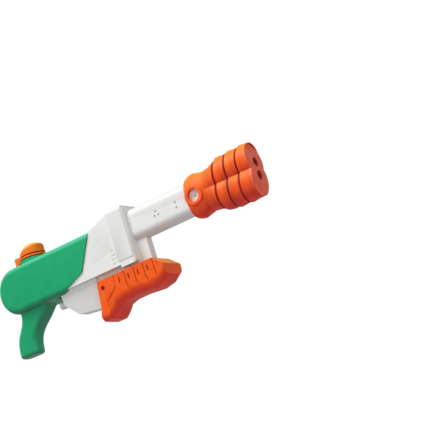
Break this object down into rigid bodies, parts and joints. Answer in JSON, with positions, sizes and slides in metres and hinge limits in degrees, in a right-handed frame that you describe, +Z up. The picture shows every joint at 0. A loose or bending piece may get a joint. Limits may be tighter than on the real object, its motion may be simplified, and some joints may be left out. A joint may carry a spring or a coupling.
{
  "type": "pump-action water squirter",
  "caption": "Pump-action water squirter with a hollow tank grip, hinged filler cap, sliding ribbed nozzle head and a sliding pump handle under a box-section barrel.",
  "frame": {"origin": "on the ground under the middle of the overall length, in the side-to-side middle plane", "axes": "+X along the barrel towards the muzzle, +Z up, Y across, the side with the window facing -Y"},
  "size_m": [0.602, 0.068, 0.206],
  "materials": {
    "tank_green": "satin moulded plastic",
    "shell_white": "satin moulded plastic",
    "shell_orange": "satin moulded plastic",
    "pump_plastic": "matt moulded plastic",
    "soft_tube": "soft clear-grey tube",
    "seal_rubber": "matt black rubber",
    "steel": "plain zinc-plated steel"
  },
  "bodies": {
    "body": {"water_tank": "tank_green", "cap_collar": "shell_orange", "cap_hinge_pin": "steel", "body_shell_right": "shell_white", "body_shell_left": "shell_white", "body_screws": "steel", "barrel": "shell_white", "barrel_manifold": "pump_plastic", "outlet_tube_upper": "soft_tube", "outlet_tube_lower": "soft_tube", "water_line": "pump_plastic", "outlet_hose": "soft_tube", "pump_cylinder": "pump_plastic", "cylinder_gland": "pump_plastic", "gland_seal": "seal_rubber", "valve_block": "pump_plastic", "intake_spring": "steel", "intake_plug": "pump_plastic", "intake_grommet": "seal_rubber", "outlet_spring": "steel", "outlet_fitting": "pump_plastic", "rear_plug": "shell_white", "plug_seal": "seal_rubber"},
    "cap": {"filler_cap": "shell_orange", "cap_seal": "seal_rubber"},
    "nozzle": {"nozzle_sleeve": "shell_orange", "nozzle_face": "shell_orange"},
    "pump": {"handle_right": "shell_orange", "handle_left": "shell_orange", "handle_screws": "steel", "crosshead": "pump_plastic", "pump_rod": "pump_plastic", "piston": "pump_plastic", "piston_ring": "seal_rubber"},
    "intake_valve": {"intake_ball": "steel"},
    "outlet_valve": {"outlet_ball": "steel"}
  },
  "joints": [
    {"name": "cap_hinge", "type": "hinge", "parent": "body", "child": "cap", "pos_m": [-0.248, 0, 0.185], "axis": [0, -1, 0], "range_deg": [0, 110]},
    {"name": "nozzle_slide", "type": "slide", "parent": "body", "child": "nozzle", "axis": [1, 0, 0], "range_m": [-0.089, 0]},
    {"name": "pump_slide", "type": "slide", "parent": "body", "child": "pump", "axis": [1, 0, 0], "range_m": [0, 0.08]},
    {"name": "intake_valve_slide", "type": "slide", "parent": "body", "child": "intake_valve", "axis": [0, 0, 1], "range_m": [-0.003, 0], "stiffness_N_per_m": 40, "springref_m": 0.001, "deforming": ["intake_spring"]},
    {"name": "outlet_valve_slide", "type": "slide", "parent": "body", "child": "outlet_valve", "axis": [0, 0, 1], "range_m": [0, 0.003], "stiffness_N_per_m": 40, "springref_m": -0.001, "deforming": ["outlet_spring"]}
  ]
}
